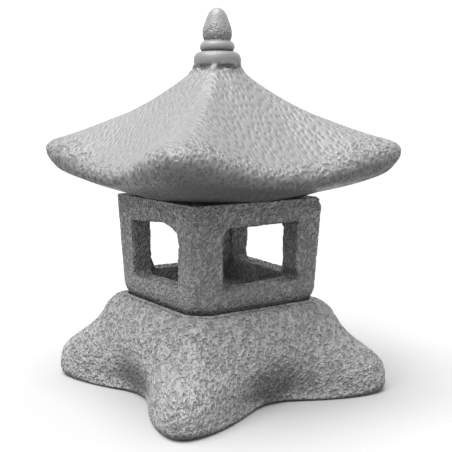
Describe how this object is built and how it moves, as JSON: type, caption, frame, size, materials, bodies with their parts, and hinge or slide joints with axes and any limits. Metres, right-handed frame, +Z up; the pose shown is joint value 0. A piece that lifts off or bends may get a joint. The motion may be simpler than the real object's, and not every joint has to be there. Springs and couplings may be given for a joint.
{
  "type": "stone garden lantern",
  "caption": "Small stacked stone lantern for a garden: footed base, open fire chamber with windows, upswept roof and bud finial, each lifting off the one below.",
  "frame": {"origin": "on the ground under the middle of the lantern", "axes": "+Z up through the finial; +X and +Y square to the light box's walls; the wide face nearest the viewer is -Y"},
  "size_m": [0.304, 0.304, 0.43],
  "materials": {
    "base_stone": "hand-textured cast stone, faint sheen",
    "box_stone": "chiselled cast stone, faint sheen",
    "roof_stone": "dimpled cast stone, faint sheen",
    "finial_stone": "smoother cast stone"
  },
  "bodies": {
    "base": {"base": "base_stone"},
    "light_box": {"light_box": "box_stone"},
    "roof": {"roof": "roof_stone"},
    "finial": {"finial": "finial_stone"}
  },
  "joints": [
    {"name": "lift_box", "type": "slide", "parent": "base", "child": "light_box", "axis": [0, 0, 1], "range_m": [0, 0.06]},
    {"name": "lift_roof", "type": "slide", "parent": "light_box", "child": "roof", "axis": [0, 0, 1], "range_m": [0, 0.08]},
    {"name": "lift_finial", "type": "slide", "parent": "roof", "child": "finial", "axis": [0, 0, 1], "range_m": [0, 0.05]}
  ]
}
